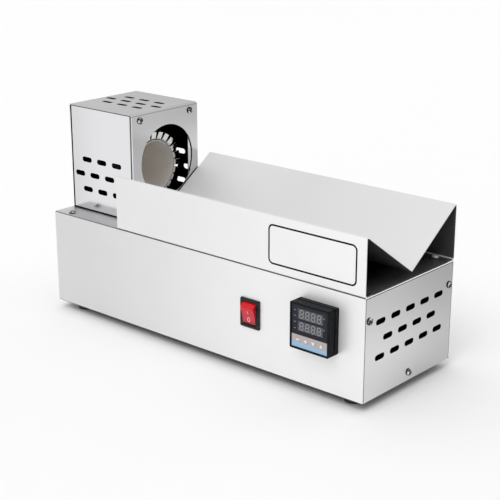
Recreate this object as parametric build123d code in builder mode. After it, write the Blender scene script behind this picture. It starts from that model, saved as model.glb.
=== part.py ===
from build123d import *
import os
from math import cos, radians, sin, sqrt

# Heat shrink machine: a polished sheet steel base box on four feet, a V-shaped trough along
# its top, and an upright heater head whose round mouth looks along the trough.
# Millimetres. X runs along the front to the right, Y to the back, Z up.
# The origin is on the floor, at the middle of the whole outline.

os.makedirs("parts", exist_ok=True)

# Sheet metal
sheet = 1.2
bend_radius = 2.0
seam = 0.8

# Base box
base_length = 443.0
base_depth = 152.0
base_height = 108.0
end_return_width = 12.0
floor_flange_height = 16.0
floor_flange_gap = 1.0

# Feet
foot_height = 10.0
foot_top_radius = 9.5
foot_bottom_radius = 8.3
foot_inset_x = 25.0
foot_inset_y = 19.0
foot_bore_radius = 2.2
foot_bore_wall = 4.0
foot_screw_head_radius = 4.2

# Vent slots, in rows that stagger by half a pitch
slot_length = 15.5
slot_width = 6.0
end_slot_pitch = 24.9
end_slot_row_pitch = 18.4
end_slot_middle_height = 59.7
end_slot_counts = (5, 4, 5)
head_slot_pitch = 24.5
head_slot_row_pitch = 17.4
head_slot_middle_height = 43.0
head_slot_counts = (3, 4, 3)
top_slot_row_pitch = 17.4

# Trough: one sheet folded to an M that stands on the base's top. The fold height is where
# the outer faces of wall and slope would meet if the fold were sharp
trough_gap = 1.2
trough_fold_height = 60.8
trough_valley_height = 6.7
trough_bend_radius = 1.5
trough_foot_width = 12.0

# Heater head
head_left_inset = 1.0
head_width = 103.0
head_depth = 103.0
head_height = 120.0
head_front_setback = 27.5
head_seal_thickness = 2.0
head_seal_width = 12.0
head_seal_inset = 0.5
head_return_width = 13.5
head_bend_radius = 3.0
head_foot_width = 14.0
head_foot_relief = 3.0

# Mouth and heater cup
mouth_radius = 41.0
mouth_height = 62.4
mouth_offset_y = 2.4
mouth_relief = 1.5
cup_height = 51.0
cup_inner_radius = 30.5
cup_wall = 1.5
cup_depth = 62.0
cup_setback = 20.0
cup_corner_radius = 4.0
fit_gap = 0.15

# Crown of bent tabs round the cup's rim
crown_sheet = 0.8
crown_collar_length = 10.0
crown_bend_radius = 1.6
tab_count = 24
tab_length = 8.0
tab_lean = 2.0
tab_width = 6.4

# Brackets that carry the cup
bracket_side_gap = 1.0
bracket_top_margin = 8.0
bracket_foot_length = 14.0
bracket_rear_setback = 12.0
bracket_front_setback = 44.0

# Rocker switch in the front wall
switch_x_from_right = 142.2
switch_height = 57.6
switch_frame_width = 25.6
switch_frame_height = 31.2
switch_frame_proud = 2.0
switch_frame_corner = 1.6
switch_body_width = 21.6
switch_body_height = 28.0
switch_body_depth = 18.0
switch_cutout_gap = 0.2
rocker_width = 16.8
rocker_side_gap = 0.35
rocker_radius = 12.1
rocker_end_gap = 0.35
rocker_pivot_depth = 5.0
rocker_half_travel = 13.0
rocker_end_reach = 7.9
rocker_face_radius = 45.0
rocker_back_reach = 3.0
rocker_back_gap = 1.0
rocker_edge_round = 0.6
rocker_pin_radius = 1.5
rocker_pin_length = 1.2
rocker_pin_gap = 0.08

# Panel controller in the front wall
controller_x_from_right = 54.1
controller_height = 67.4
controller_size = 48.0
controller_proud = 15.4
controller_corner = 1.5
controller_rim = 2.0
controller_recess = 1.2
controller_groove_depth = 0.8
controller_groove_width = 1.4
controller_groove_setback = 8.3
controller_notch_height = 3.5
controller_keypad_height = 13.2
controller_plate_gap = 0.15
controller_body_size = 44.8
controller_body_depth = 72.0
controller_cutout_gap = 0.2
controller_clamp_rim = 3.5
controller_clamp_depth = 9.0
key_radius = 2.6
key_rise = 0.3
key_pitch = 9.6
key_count = 4
key_line = 0.62

# Power inlet in the back wall
inlet_x_from_left = 60.0
inlet_height = 45.0
inlet_flange_width = 31.0
inlet_flange_height = 24.0
inlet_proud = 2.5
inlet_corner = 2.0
inlet_body_width = 27.0
inlet_body_height = 19.8
inlet_body_depth = 22.0
inlet_cutout_gap = 0.2
inlet_socket_width = 24.0
inlet_socket_height = 16.4
inlet_socket_depth = 18.0
inlet_socket_corner = 4.6
inlet_pin_width = 2.0
inlet_pin_height = 4.0
inlet_pin_length = 12.6
inlet_pin_spacing = 7.0
inlet_pin_step = 4.0

# Levels, from the floor up
body_z = foot_height
base_top_z = body_z + base_height
head_z = base_top_z + head_seal_thickness
head_top_z = head_z + head_height
trough_fold_z = base_top_z + trough_fold_height
mouth_z = base_top_z + mouth_height
cup_z = base_top_z + cup_height

# Places along the length
left_x = -base_length / 2
right_x = base_length / 2
head_left_x = left_x + head_left_inset
head_right_x = head_left_x + head_width
head_mid_x = head_left_x + head_width / 2
trough_left_x = head_right_x + trough_gap
trough_length = right_x - trough_left_x
cup_rim_x = head_right_x - cup_setback
cup_bottom_x = cup_rim_x - cup_depth
switch_x = right_x - switch_x_from_right
controller_x = right_x - controller_x_from_right
inlet_x = left_x + inlet_x_from_left

# Places across the depth: the controller stands out in front and the inlet behind
front_y = (controller_proud - inlet_proud - base_depth) / 2
back_y = front_y + base_depth
mid_y = (front_y + back_y) / 2
head_front_y = front_y + head_front_setback
head_back_y = head_front_y + head_depth
head_mid_y = (head_front_y + head_back_y) / 2
mouth_y = head_mid_y + mouth_offset_y

# Levels on the base's front and end walls
switch_z = body_z + switch_height
controller_z = body_z + controller_height
inlet_z = body_z + inlet_height
end_slots_z = body_z + end_slot_middle_height
head_slots_z = base_top_z + head_slot_middle_height

cup_axis = Axis((cup_rim_x, head_mid_y, cup_z), (1, 0, 0))


def front_plane(x, y, z):
    """Sketch plane seen from the front: its x is to the right and its y is up."""
    return Plane(origin=(x, y, z), x_dir=(1, 0, 0), z_dir=(0, -1, 0))


def end_plane(x, y, z):
    """Sketch plane seen from the right end: its x is to the back and its y is up."""
    return Plane(origin=(x, y, z), x_dir=(0, 1, 0), z_dir=(1, 0, 0))


def staggered_places(row_counts, pitch, row_pitch):
    """Slot centres in rows about a middle point, each row centred on it."""
    top_row = (len(row_counts) - 1) / 2
    places = []
    for row, count in enumerate(row_counts):
        for column in range(count):
            places.append(((column - (count - 1) / 2) * pitch, (top_row - row) * row_pitch))
    return places


end_slot_places = staggered_places(end_slot_counts, end_slot_pitch, end_slot_row_pitch)
head_slot_places = staggered_places(head_slot_counts, head_slot_pitch, head_slot_row_pitch)
top_slot_places = staggered_places(head_slot_counts, head_slot_pitch, top_slot_row_pitch)


# Base shell: front, top and back folded from one sheet, with returns at both ends
floor_plan_length = base_length - 2 * sheet
return_z = body_z + floor_flange_height + floor_flange_gap
with BuildPart() as base_shell:
    with BuildSketch(end_plane(left_x, 0, 0)):
        with BuildLine():
            FilletPolyline(
                (front_y, body_z),
                (front_y, base_top_z),
                (back_y, base_top_z),
                (back_y, body_z),
                radius=bend_radius,
            )
            offset(amount=sheet, side=Side.RIGHT)
        make_face()
    extrude(amount=base_length)
    # Returns that stand just behind each end panel
    for return_x in (left_x + sheet, right_x - 2 * sheet):
        with BuildSketch(end_plane(return_x, mid_y, return_z)):
            Rectangle(
                base_depth - 2 * sheet,
                base_top_z - sheet - return_z,
                align=(Align.CENTER, Align.MIN),
            )
            Rectangle(
                base_depth - 2 * sheet - 2 * end_return_width,
                base_top_z - sheet - return_z - end_return_width,
                align=(Align.CENTER, Align.MIN),
                mode=Mode.SUBTRACT,
            )
        extrude(amount=sheet)
    # Cut-outs for the switch, the controller and the inlet
    with BuildSketch(front_plane(0, front_y + bend_radius, 0)):
        with Locations((switch_x, switch_z)):
            Rectangle(
                switch_body_width + 2 * switch_cutout_gap,
                switch_body_height + 2 * switch_cutout_gap,
            )
        with Locations((controller_x, controller_z)):
            RectangleRounded(
                controller_body_size + 2 * controller_cutout_gap,
                controller_body_size + 2 * controller_cutout_gap,
                controller_corner,
            )
    extrude(amount=2 * bend_radius, mode=Mode.SUBTRACT)
    with BuildSketch(front_plane(inlet_x, back_y + bend_radius, inlet_z)):
        Rectangle(
            inlet_body_width + 2 * inlet_cutout_gap,
            inlet_body_height + 2 * inlet_cutout_gap,
        )
    extrude(amount=2 * bend_radius, mode=Mode.SUBTRACT)
base_shell.part.label = "base_shell"
export_step(base_shell.part, "parts/base_shell.step")


# Base floor: a tray with its four edges turned up inside the shell and the end panels
with BuildPart() as base_floor:
    with BuildSketch(Plane.XY.offset(body_z)):
        with Locations((0, mid_y)):
            Rectangle(floor_plan_length, base_depth - 2 * sheet)
    extrude(amount=floor_flange_height)
    fillet(base_floor.faces().sort_by(Axis.Z)[0].edges(), bend_radius)
    offset(amount=-sheet, openings=base_floor.faces().sort_by(Axis.Z)[-1])
base_floor.part.label = "base_floor"
export_step(base_floor.part, "parts/base_floor.step")


# End panels: flat plates inset in the shell's ends, with three rows of vent slots
end_panel_width = base_depth - 2 * sheet - 2 * seam
end_panel_height = base_height - sheet - seam
for side_name, panel_x in (("left", left_x), ("right", right_x - sheet)):
    with BuildPart() as end_panel:
        with BuildSketch(end_plane(panel_x, mid_y, body_z)) as end_outline:
            Rectangle(end_panel_width, end_panel_height, align=(Align.CENTER, Align.MIN))
            fillet(end_outline.vertices().group_by(Axis.Y)[-1], bend_radius - sheet)
        extrude(amount=sheet)
        with BuildSketch(end_plane(panel_x, mid_y, end_slots_z)):
            with Locations(*end_slot_places):
                SlotOverall(slot_length, slot_width)
        extrude(amount=sheet, mode=Mode.SUBTRACT)
    end_panel.part.label = side_name + "_end_panel"
    export_step(end_panel.part, "parts/" + side_name + "_end_panel.step")


# Feet: turned rubber cones with a counterbored screw hole
foot_places = {
    "front_left": (left_x + foot_inset_x, front_y + foot_inset_y),
    "front_right": (right_x - foot_inset_x, front_y + foot_inset_y),
    "back_left": (left_x + foot_inset_x, back_y - foot_inset_y),
    "back_right": (right_x - foot_inset_x, back_y - foot_inset_y),
}
for place_name, (foot_x, foot_y) in foot_places.items():
    with BuildPart() as foot:
        with BuildSketch(Plane(origin=(foot_x, foot_y, 0), x_dir=(1, 0, 0), z_dir=(0, -1, 0))):
            with BuildLine():
                Polyline(
                    (foot_screw_head_radius, 0),
                    (foot_bottom_radius, 0),
                    (foot_top_radius, foot_height),
                    (foot_bore_radius, foot_height),
                    (foot_bore_radius, foot_height - foot_bore_wall),
                    (foot_screw_head_radius, foot_height - foot_bore_wall),
                    close=True,
                )
            make_face()
        revolve(axis=Axis((foot_x, foot_y, 0), (0, 0, 1)))
    foot.part.label = "foot_" + place_name
    export_step(foot.part, "parts/foot_" + place_name + ".step")


# Trough: feet turned in, walls up, and slopes that meet in the valley
with BuildPart() as trough_sheet:
    with BuildSketch(end_plane(trough_left_x, 0, 0)):
        with BuildLine():
            FilletPolyline(
                (front_y + trough_foot_width, base_top_z),
                (front_y, base_top_z),
                (front_y, trough_fold_z),
                (mid_y, base_top_z + trough_valley_height + sheet),
                (back_y, trough_fold_z),
                (back_y, base_top_z),
                (back_y - trough_foot_width, base_top_z),
                radius=trough_bend_radius,
            )
            offset(amount=sheet, side=Side.RIGHT)
        make_face()
    extrude(amount=trough_length)
trough_sheet.part.label = "trough_sheet"
export_step(trough_sheet.part, "parts/trough_sheet.step")


# Head seal: an insulating frame between the base and the head
with BuildPart() as head_seal:
    with BuildSketch(Plane.XY.offset(base_top_z)):
        with Locations((head_mid_x, head_mid_y)):
            Rectangle(head_width - 2 * head_seal_inset, head_depth - 2 * head_seal_inset)
            Rectangle(
                head_width - 2 * head_seal_inset - 2 * head_seal_width,
                head_depth - 2 * head_seal_inset - 2 * head_seal_width,
                mode=Mode.SUBTRACT,
            )
    extrude(amount=head_seal_thickness)
head_seal.part.label = "head_seal"
export_step(head_seal.part, "parts/head_seal.step")


# Head cover: left side, top and right side folded from one sheet
with BuildPart() as head_cover:
    with BuildSketch(front_plane(0, head_back_y, 0)):
        with BuildLine():
            FilletPolyline(
                (head_left_x, head_z),
                (head_left_x, head_top_z),
                (head_right_x, head_top_z),
                (head_right_x, head_z),
                radius=head_bend_radius,
            )
            offset(amount=sheet, side=Side.RIGHT)
        make_face()
    extrude(amount=head_depth)
    # The round mouth in the right side
    with BuildSketch(end_plane(head_right_x - sheet, mouth_y, mouth_z)):
        Circle(mouth_radius)
    extrude(amount=sheet, mode=Mode.SUBTRACT)
    # Vent slots in the top
    with BuildSketch(Plane.XY.offset(head_top_z - sheet)):
        with Locations((head_mid_x, head_mid_y)):
            with Locations(*top_slot_places):
                SlotOverall(slot_length, slot_width)
    extrude(amount=sheet, mode=Mode.SUBTRACT)
head_cover.part.label = "head_cover"
export_step(head_cover.part, "parts/head_cover.step")


# Head panels: plates between the cover's sides, with returns that take its screws
head_panel_left_x = head_left_x + sheet + seam
head_panel_right_x = head_right_x - sheet - seam
head_panel_height = head_height - sheet - seam
head_foot_length = head_panel_right_x - head_panel_left_x - 2 * sheet - 2 * head_foot_relief
for side_name, panel_y, inward in (("front", head_front_y, 1), ("back", head_back_y, -1)):
    with BuildPart() as head_panel:
        with BuildSketch(Plane.XY.offset(head_z)):
            with BuildLine():
                FilletPolyline(
                    (head_panel_left_x, panel_y + inward * head_return_width),
                    (head_panel_left_x, panel_y),
                    (head_panel_right_x, panel_y),
                    (head_panel_right_x, panel_y + inward * head_return_width),
                    radius=bend_radius,
                )
                offset(amount=sheet, side=Side.LEFT if inward > 0 else Side.RIGHT)
            make_face()
        extrude(amount=head_panel_height)
        # Foot turned inward at the bottom, which stands on the seal
        with BuildSketch(Plane.XY.offset(head_z)):
            with Locations((head_mid_x, panel_y + inward * (sheet + head_foot_width) / 2)):
                Rectangle(head_foot_length, head_foot_width - sheet)
        extrude(amount=sheet)
        # Vent slots
        with BuildSketch(front_plane(head_mid_x, panel_y + bend_radius, head_slots_z)):
            with Locations(*head_slot_places):
                SlotOverall(slot_length, slot_width)
        extrude(amount=2 * bend_radius, mode=Mode.SUBTRACT)
        # Relief in the front panel's return, so that it keeps clear of the mouth
        if inward > 0:
            with BuildSketch(end_plane(head_panel_right_x - 2 * sheet, mouth_y, mouth_z)):
                Circle(mouth_radius + mouth_relief)
            extrude(amount=3 * sheet, mode=Mode.SUBTRACT)
    head_panel.part.label = "head_" + side_name + "_panel"
    export_step(head_panel.part, "parts/head_" + side_name + "_panel.step")


# Heater cup: a spun cup that opens towards the mouth
cup_outer_radius = cup_inner_radius + cup_wall
with BuildPart() as heat_cup:
    with BuildSketch(front_plane(cup_rim_x, head_mid_y, cup_z)):
        with BuildLine():
            cup_outer = FilletPolyline(
                (0, cup_outer_radius),
                (-cup_depth, cup_outer_radius),
                (-cup_depth, 0),
                radius=cup_corner_radius,
            )
            cup_inner = FilletPolyline(
                (0, cup_inner_radius),
                (cup_wall - cup_depth, cup_inner_radius),
                (cup_wall - cup_depth, 0),
                radius=cup_corner_radius - cup_wall,
            )
            Line(cup_outer @ 0, cup_inner @ 0)
            Line(cup_outer @ 1, cup_inner @ 1)
        make_face()
    revolve(axis=cup_axis)
heat_cup.part.label = "heat_cup"
export_step(heat_cup.part, "parts/heat_cup.step")


# Tab crown: a collar round the cup's rim whose front edge is slit and bent out into tabs
collar_inner_radius = cup_outer_radius + fit_gap
collar_outer_radius = collar_inner_radius + crown_sheet
tab_tip_radius = collar_outer_radius + tab_length
with BuildPart() as tab_crown:
    with BuildSketch(front_plane(cup_rim_x, head_mid_y, cup_z)):
        with BuildLine():
            FilletPolyline(
                (-crown_collar_length, collar_inner_radius),
                (0, collar_inner_radius),
                (tab_lean, tab_tip_radius),
                radius=crown_bend_radius,
            )
            offset(amount=crown_sheet, side=Side.LEFT)
        make_face()
    revolve(axis=cup_axis)
    # Gaps between the tabs, which open outward because each tab keeps its width
    with BuildSketch(end_plane(cup_rim_x - crown_bend_radius, head_mid_y, cup_z)):
        Circle(tab_tip_radius + tab_length)
        Circle(collar_outer_radius, mode=Mode.SUBTRACT)
        with PolarLocations(tab_tip_radius, tab_count):
            Rectangle(2 * (tab_tip_radius - collar_inner_radius), tab_width, mode=Mode.SUBTRACT)
    extrude(amount=2 * crown_bend_radius + tab_lean, mode=Mode.SUBTRACT)
tab_crown.part.label = "tab_crown"
export_step(tab_crown.part, "parts/tab_crown.step")


# Cup brackets: upright plates with a foot on the base's top and a hole round the cup
bracket_height = cup_z + cup_outer_radius + bracket_top_margin - base_top_z
bracket_width = head_depth - 2 * (head_foot_width + bracket_side_gap)
bracket_places = (
    ("rear", cup_bottom_x + bracket_rear_setback, -1),
    ("front", cup_bottom_x + bracket_front_setback, -1),
)
for place_name, bracket_x, foot_side in bracket_places:
    with BuildPart() as cup_bracket:
        with BuildSketch(front_plane(0, head_mid_y + bracket_width / 2, base_top_z)):
            with BuildLine():
                FilletPolyline(
                    (bracket_x + foot_side * bracket_foot_length, 0),
                    (bracket_x, 0),
                    (bracket_x, bracket_height),
                    radius=bend_radius,
                )
                offset(amount=sheet, side=Side.LEFT)
            make_face()
        extrude(amount=bracket_width)
        with BuildSketch(end_plane(bracket_x - bend_radius, head_mid_y, cup_z)):
            Circle(cup_outer_radius + fit_gap)
        extrude(amount=2 * bend_radius, mode=Mode.SUBTRACT)
    cup_bracket.part.label = "cup_bracket_" + place_name
    export_step(cup_bracket.part, "parts/cup_bracket_" + place_name + ".step")


# Switch housing: a frame on the front wall and a hollow body behind it
rocker_pivot_y = front_y - switch_frame_proud + rocker_pivot_depth
rocker_window_width = rocker_width + 2 * rocker_side_gap
rocker_window_height = 2 * rocker_radius + 2 * rocker_end_gap
rocker_swing_back = rocker_back_reach + rocker_radius * sin(radians(rocker_half_travel))
rocker_window_depth = rocker_pivot_depth + rocker_swing_back + rocker_back_gap
with BuildPart() as switch_housing:
    with BuildSketch(front_plane(switch_x, front_y, switch_z)):
        RectangleRounded(switch_frame_width, switch_frame_height, switch_frame_corner)
    extrude(amount=switch_frame_proud)
    with BuildSketch(front_plane(switch_x, front_y, switch_z)):
        Rectangle(switch_body_width, switch_body_height)
    extrude(amount=-switch_body_depth)
    fillet(switch_housing.faces().sort_by(Axis.Y)[0].outer_wire().edges(), rocker_edge_round)
    with BuildSketch(front_plane(switch_x, front_y - switch_frame_proud, switch_z)):
        Rectangle(rocker_window_width, rocker_window_height)
    extrude(amount=-rocker_window_depth, mode=Mode.SUBTRACT)
    # Holes for the rocker's pins
    with BuildSketch(end_plane(switch_x, rocker_pivot_y, switch_z)):
        Circle(rocker_pin_radius + rocker_pin_gap)
    extrude(amount=rocker_width / 2 + rocker_pin_length + rocker_side_gap, both=True, mode=Mode.SUBTRACT)
switch_housing.part.label = "switch_housing"
export_step(switch_housing.part, "parts/switch_housing.step")


# Rocker: a disc segment about its pivot with a hollow face, shown with its lower end in
tilt = radians(rocker_half_travel)
rocker_plane = Plane(
    origin=(switch_x, rocker_pivot_y, switch_z),
    x_dir=(0, -cos(tilt), -sin(tilt)),
    z_dir=(-1, 0, 0),
)
rocker_end_height = sqrt(rocker_radius**2 - rocker_end_reach**2)
rocker_face_centre = rocker_end_reach + sqrt(rocker_face_radius**2 - rocker_end_height**2)
with BuildPart() as switch_rocker:
    with BuildSketch(rocker_plane):
        Circle(rocker_radius)
        with Locations((rocker_face_centre, 0)):
            Circle(rocker_face_radius, mode=Mode.SUBTRACT)
        with Locations((-rocker_back_reach, 0)):
            Rectangle(
                rocker_radius,
                2 * rocker_radius,
                align=(Align.MAX, Align.CENTER),
                mode=Mode.SUBTRACT,
            )
    extrude(amount=rocker_width / 2, both=True)
    with BuildSketch(rocker_plane):
        Circle(rocker_pin_radius)
    extrude(amount=rocker_width / 2 + rocker_pin_length, both=True)
switch_rocker.part.label = "switch_rocker"
export_step(switch_rocker.part, "parts/switch_rocker.step")


# Controller case: a square block on the front wall with a groove round its sides
controller_face_y = front_y - controller_proud
controller_plate_y = controller_face_y + controller_recess
controller_bottom_z = controller_z - controller_size / 2
controller_inner_size = controller_size - 2 * controller_rim
with BuildPart() as controller_case:
    with BuildSketch(front_plane(controller_x, front_y, controller_z)):
        RectangleRounded(controller_size, controller_size, controller_corner)
    extrude(amount=controller_proud)
    with BuildSketch(front_plane(controller_x, controller_plate_y, controller_z)):
        Rectangle(controller_inner_size, controller_inner_size)
    extrude(amount=controller_recess, mode=Mode.SUBTRACT)
    # Groove round the four sides
    groove_y = controller_face_y + controller_groove_setback + controller_groove_width
    with BuildSketch(front_plane(controller_x, groove_y, controller_z)):
        Rectangle(2 * controller_size, 2 * controller_size)
        Rectangle(
            controller_size - 2 * controller_groove_depth,
            controller_size - 2 * controller_groove_depth,
            mode=Mode.SUBTRACT,
        )
    extrude(amount=controller_groove_width, mode=Mode.SUBTRACT)
    # Clip notches at the middle of the left and right sides
    with BuildSketch(front_plane(controller_x, groove_y + controller_groove_width, controller_z)):
        with GridLocations(controller_size, controller_size, 2, 1):
            Rectangle(2 * controller_groove_depth, controller_notch_height)
    extrude(amount=2 * controller_groove_width, mode=Mode.SUBTRACT)
controller_case.part.label = "controller_case"
export_step(controller_case.part, "parts/controller_case.step")


# Controller lens: the dark window over the two rows of digits
keypad_top_z = controller_bottom_z + controller_rim + controller_keypad_height
lens_height = controller_inner_size - controller_keypad_height - 2 * controller_plate_gap
plate_thickness = controller_recess / 2
with BuildPart() as controller_lens:
    with BuildSketch(front_plane(controller_x, controller_plate_y, keypad_top_z + controller_plate_gap)):
        Rectangle(
            controller_inner_size - 2 * controller_plate_gap,
            lens_height,
            align=(Align.CENTER, Align.MIN),
        )
    extrude(amount=plate_thickness)
controller_lens.part.label = "controller_lens"
export_step(controller_lens.part, "parts/controller_lens.step")


# Controller keypad: a membrane with four low domes
with BuildPart() as controller_keypad:
    with BuildSketch(front_plane(controller_x, controller_plate_y, keypad_top_z - controller_plate_gap)):
        Rectangle(
            controller_inner_size - 2 * controller_plate_gap,
            controller_keypad_height - 2 * controller_plate_gap,
            align=(Align.CENTER, Align.MAX),
        )
    extrude(amount=plate_thickness)
    key_z = controller_bottom_z + controller_rim + key_line * controller_keypad_height
    with BuildSketch(front_plane(controller_x, controller_plate_y - plate_thickness, key_z)):
        with GridLocations(key_pitch, key_pitch, key_count, 1):
            Circle(key_radius)
    extrude(amount=key_rise)
controller_keypad.part.label = "controller_keypad"
export_step(controller_keypad.part, "parts/controller_keypad.step")


# Controller body: the part of the controller behind the front wall
with BuildPart() as controller_body:
    with BuildSketch(front_plane(controller_x, front_y, controller_z)):
        RectangleRounded(controller_body_size, controller_body_size, controller_corner)
    extrude(amount=-controller_body_depth)
controller_body.part.label = "controller_body"
export_step(controller_body.part, "parts/controller_body.step")


# Controller clamp: a frame pushed over the body against the back of the front wall
with BuildPart() as controller_clamp:
    with BuildSketch(front_plane(controller_x, front_y + sheet, controller_z)):
        RectangleRounded(
            controller_body_size + 2 * controller_clamp_rim,
            controller_body_size + 2 * controller_clamp_rim,
            controller_corner,
        )
        RectangleRounded(
            controller_body_size + 2 * fit_gap,
            controller_body_size + 2 * fit_gap,
            controller_corner,
            mode=Mode.SUBTRACT,
        )
    extrude(amount=-controller_clamp_depth)
controller_clamp.part.label = "controller_clamp"
export_step(controller_clamp.part, "parts/controller_clamp.step")


# Power inlet: a socket with a flange on the back wall, its two upper corners cut off
with BuildPart() as inlet_body:
    with BuildSketch(front_plane(inlet_x, back_y + inlet_proud, inlet_z)):
        RectangleRounded(inlet_flange_width, inlet_flange_height, inlet_corner)
    extrude(amount=inlet_proud)
    with BuildSketch(front_plane(inlet_x, back_y, inlet_z)):
        Rectangle(inlet_body_width, inlet_body_height)
    extrude(amount=inlet_body_depth)
    with BuildSketch(front_plane(inlet_x, back_y + inlet_proud, inlet_z)) as socket_outline:
        Rectangle(inlet_socket_width, inlet_socket_height)
        chamfer(socket_outline.vertices().group_by(Axis.Y)[-1], inlet_socket_corner)
    extrude(amount=inlet_socket_depth, mode=Mode.SUBTRACT)
inlet_body.part.label = "inlet_body"
export_step(inlet_body.part, "parts/inlet_body.step")


# Inlet pins: the middle one stands higher than the other two
inlet_socket_floor_y = back_y + inlet_proud - inlet_socket_depth
with BuildPart() as inlet_pins:
    with BuildSketch(front_plane(inlet_x, inlet_socket_floor_y, inlet_z)):
        with Locations(
            (-inlet_pin_spacing, -inlet_pin_step / 2),
            (0, inlet_pin_step / 2),
            (inlet_pin_spacing, -inlet_pin_step / 2),
        ):
            Rectangle(inlet_pin_width, inlet_pin_height)
    extrude(amount=-inlet_pin_length)
inlet_pins.part.label = "inlet_pins"
export_step(inlet_pins.part, "parts/inlet_pins.step")
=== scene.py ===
from math import cos, pi, radians, sin, sqrt

import bmesh
import bpy
from mathutils import Matrix, Vector


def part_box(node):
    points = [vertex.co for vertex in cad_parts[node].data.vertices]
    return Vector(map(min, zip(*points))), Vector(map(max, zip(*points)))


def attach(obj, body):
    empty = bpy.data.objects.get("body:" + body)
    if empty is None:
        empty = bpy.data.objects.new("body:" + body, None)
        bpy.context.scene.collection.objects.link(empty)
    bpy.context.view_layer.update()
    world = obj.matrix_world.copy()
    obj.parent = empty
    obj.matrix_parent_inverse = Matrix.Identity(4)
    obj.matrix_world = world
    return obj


# Heat shrink machine, dressed around its CAD model. Metres, X along the front to the right,
# Y to the back, Z up, with the origin on the floor at the middle of the outline.

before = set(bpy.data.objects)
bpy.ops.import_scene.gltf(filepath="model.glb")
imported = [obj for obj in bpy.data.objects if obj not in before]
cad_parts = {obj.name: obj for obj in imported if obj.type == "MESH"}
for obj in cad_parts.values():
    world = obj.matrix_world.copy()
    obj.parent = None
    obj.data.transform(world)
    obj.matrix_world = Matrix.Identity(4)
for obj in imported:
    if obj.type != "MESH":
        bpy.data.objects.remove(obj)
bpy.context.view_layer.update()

MM = 0.001
X, Y, Z = range(3)
MACHINE = "machine"
ROCKER = "rocker"

# Places of the CAD model that the dressing is set out from, in metres
shell_low, shell_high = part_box("base_shell")
trough_low, trough_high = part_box("trough_sheet")
cover_low, cover_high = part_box("head_cover")
case_low, case_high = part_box("controller_case")
lens_low, lens_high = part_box("controller_lens")
keypad_low, keypad_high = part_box("controller_keypad")
rocker_low, rocker_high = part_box("switch_rocker")
housing_low, housing_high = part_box("switch_housing")
cup_low, cup_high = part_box("heat_cup")
base_top_z = shell_high.z
mid_y = (shell_low.y + shell_high.y) / 2
cup_radius = (cup_high.y - cup_low.y) / 2

# Sizes that the frame doesn't give
sheet = 1.2 * MM
cup_wall = 1.5 * MM
screw_radius = 3.9 * MM
screw_height = 2.3 * MM
print_height = 0.05 * MM


# Shader helpers

def node(tree, kind, inputs=None, **settings):
    """Adds a shader node, sets its properties and fills or links its inputs."""
    made = tree.nodes.new("ShaderNode" + kind)
    for key, value in settings.items():
        setattr(made, key, value)
    for key, value in (inputs or {}).items():
        socket = made.inputs[key]
        if isinstance(value, bpy.types.NodeSocket):
            tree.links.new(value, socket)
        else:
            socket.default_value = value
    return made


def calc(tree, operation, first, second=0.0, third=0.0):
    """Math node; returns its output."""
    made = node(tree, "Math", {0: first, 1: second, 2: third}, operation=operation)
    return made.outputs[0]


def hypotenuse(tree, first, second):
    """Length of the vector with these two parts."""
    squares = (calc(tree, "MULTIPLY", value, value) for value in (first, second))
    return calc(tree, "SQRT", calc(tree, "ADD", *squares))


def split(tree, vector):
    """The three parts of a vector."""
    return node(tree, "SeparateXYZ", {0: vector}).outputs


def face_normal(tree):
    """The three parts of the face's own normal."""
    return split(tree, tree.nodes.new("ShaderNodeNewGeometry").outputs["True Normal"])


def ramp_between(tree, value, start, stop, first=0.0, last=1.0, **settings):
    """Maps a value from start to stop onto first to last, and holds it beyond them."""
    made = node(tree, "MapRange", {0: value, 1: start, 2: stop, 3: first, 4: last}, **settings)
    return made.outputs[0]


def blend_colors(tree, factor, first, second, mode="MIX"):
    """Mixes or multiplies two colours."""
    made = node(tree, "Mix", data_type="RGBA", blend_type=mode)
    for index, value in ((0, factor), (6, first), (7, second)):
        if isinstance(value, bpy.types.NodeSocket):
            tree.links.new(value, made.inputs[index])
        else:
            made.inputs[index].default_value = value
    return made.outputs[2]


def times_grey(tree, factor, color, grey):
    """Multiplies a colour by a grey, as far as the factor says."""
    return blend_colors(tree, factor, color, (grey, grey, grey, 1), "MULTIPLY")


def blend_values(tree, factor, first, second):
    """Mixes two numbers."""
    made = node(tree, "Mix", {0: factor, 2: first, 3: second}, data_type="FLOAT")
    return made.outputs[0]


def noise(tree, place, scale, stretch=(1, 1, 1), detail=2.0, rough=0.5):
    """Noise from 0 to 1 in object space, its scale in cycles per metre."""
    mapped = node(tree, "Mapping", {"Vector": place, "Scale": stretch})
    made = node(
        tree,
        "TexNoise",
        {"Vector": mapped.outputs[0], "Scale": scale, "Detail": detail, "Roughness": rough},
    )
    return made.outputs["Fac"]


def spread(tree, value, low, high):
    """Maps a value from 0 to 1 onto low to high."""
    return calc(tree, "MULTIPLY_ADD", value, high - low, low)


def inside_box(tree, place, low, high):
    """1 where the object-space place is inside the box, else 0."""
    found = 1.0
    for part, start, stop in zip(split(tree, place), low, high):
        off = calc(tree, "ABSOLUTE", calc(tree, "SUBTRACT", part, (start + stop) / 2))
        found = calc(tree, "MULTIPLY", found, calc(tree, "LESS_THAN", off, (stop - start) / 2))
    return found


def start_material(name):
    """A new material with a Principled shader; returns it, its tree, shader and object place."""
    material = bpy.data.materials.new(name)
    material.use_nodes = True
    tree = material.node_tree
    shader = tree.nodes["Principled BSDF"]
    place = tree.nodes.new("ShaderNodeTexCoord").outputs["Object"]
    return material, tree, shader, place


def between(tree, value, low, high):
    """1 where the value is between low and high, else 0."""
    above = calc(tree, "GREATER_THAN", value, low)
    return calc(tree, "MULTIPLY", above, calc(tree, "LESS_THAN", value, high))


def link(tree, source, shader, socket):
    """Links a node's output to an input of the shader."""
    tree.links.new(source, shader.inputs[socket])


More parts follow.
